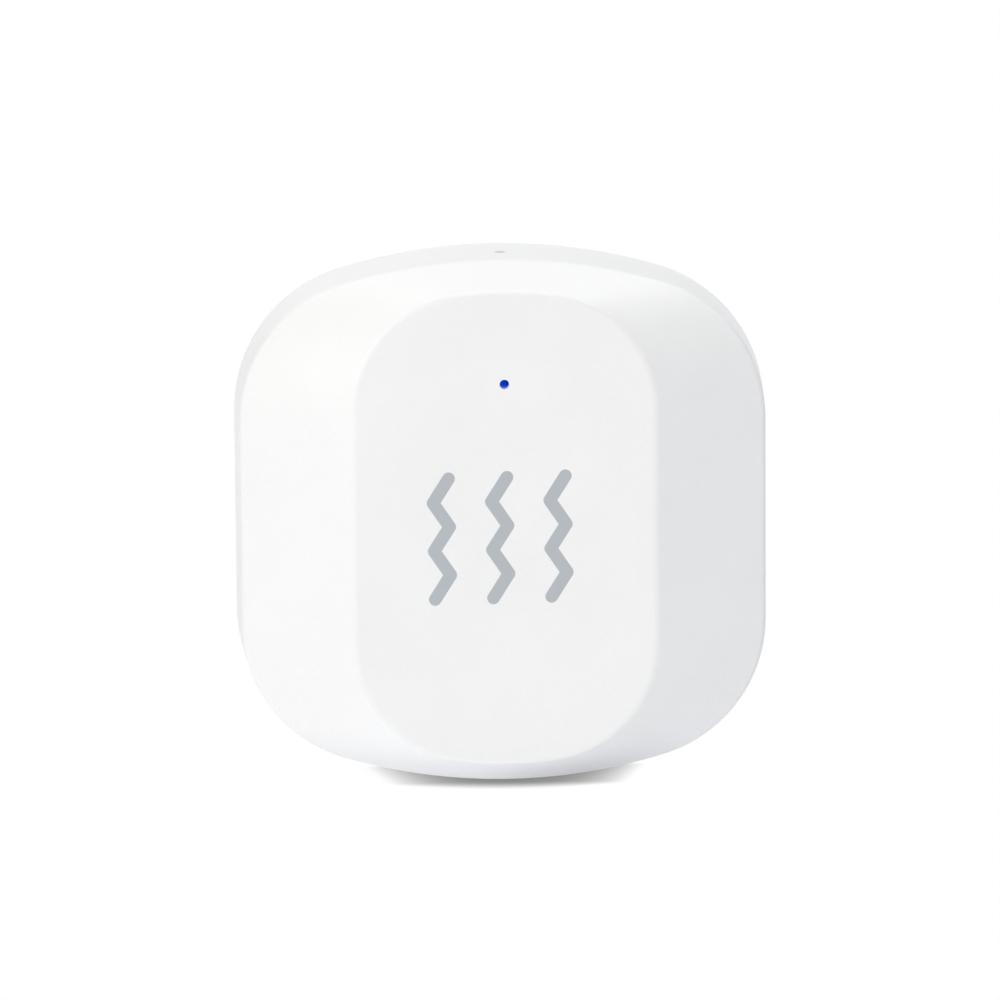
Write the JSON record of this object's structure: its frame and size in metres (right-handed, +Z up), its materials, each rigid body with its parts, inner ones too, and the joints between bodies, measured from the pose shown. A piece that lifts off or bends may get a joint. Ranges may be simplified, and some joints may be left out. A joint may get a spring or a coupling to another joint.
{
  "type": "vibration sensor tag",
  "caption": "Stick-on vibration sensor tag: bevelled white housing with an indicator light and a reset pin hole over a coin-cell radio board, closed by a pull-off cover with an adhesive pad.",
  "frame": {"origin": "centre of the adhesive pad's wall-side face", "axes": "+X to the right seen from the front, +Y out of the back into the wall that it sticks to, +Z up; the front faces -Y"},
  "size_m": [0.042, 0.0135, 0.0419],
  "materials": {
    "shell_white": "fine satin moulded plastic",
    "cover_white": "satin moulded plastic",
    "pad_foam": "fine-celled foam with an adhesive face",
    "light_clear": "clear acrylic lit blue by the LED",
    "board_green": "solder resist on glass-fibre board",
    "screw_steel": "zinc plated",
    "led_body": "moulded LED package",
    "chip_black": "moulded chip package",
    "copper": "gold-flashed copper trace",
    "capacitor_yellow": "moulded capacitor",
    "capacitor_tan": "sintered ceramic",
    "resistor_black": "coated ceramic",
    "holder_black": "moulded heat-proof plastic",
    "plunger_white": "moulded plastic",
    "contact_metal": "nickel plated spring metal",
    "cell_steel": "nickel plated steel",
    "gasket": "moulded seal",
    "cell_core": "pressed powder"
  },
  "bodies": {
    "wall_plate": {"rear_cover": "cover_white", "adhesive_pad": "pad_foam"},
    "housing": {"front_shell": "shell_white", "light_pipe": "light_clear", "main_board": "board_green", "board_screws": "screw_steel", "indicator_led": "led_body", "radio_chip": "chip_black", "motion_chip": "chip_black", "crystal": "contact_metal", "antenna_trace": "copper", "reservoir_capacitor": "capacitor_yellow", "ceramic_capacitors": "capacitor_tan", "chip_resistors": "resistor_black", "switch_base": "holder_black", "switch_cover": "contact_metal", "switch_terminals": "contact_metal", "switch_dome": "contact_metal", "battery_holder": "holder_black", "positive_contact": "contact_metal", "negative_contact": "contact_metal", "cell_can": "cell_steel", "cell_gasket": "gasket", "cell_cap": "cell_steel", "cell_core": "cell_core"},
    "plunger": {"reset_plunger": "plunger_white"}
  },
  "joints": [
    {"name": "cover_release", "type": "slide", "parent": "wall_plate", "child": "housing", "axis": [0, -1, 0], "range_m": [0, 0.03]},
    {"name": "reset_press", "type": "slide", "parent": "housing", "child": "plunger", "axis": [0, 0, -1], "range_m": [0, 0.00025], "stiffness_N_per_m": 6000, "deforming": ["switch_dome"]}
  ]
}
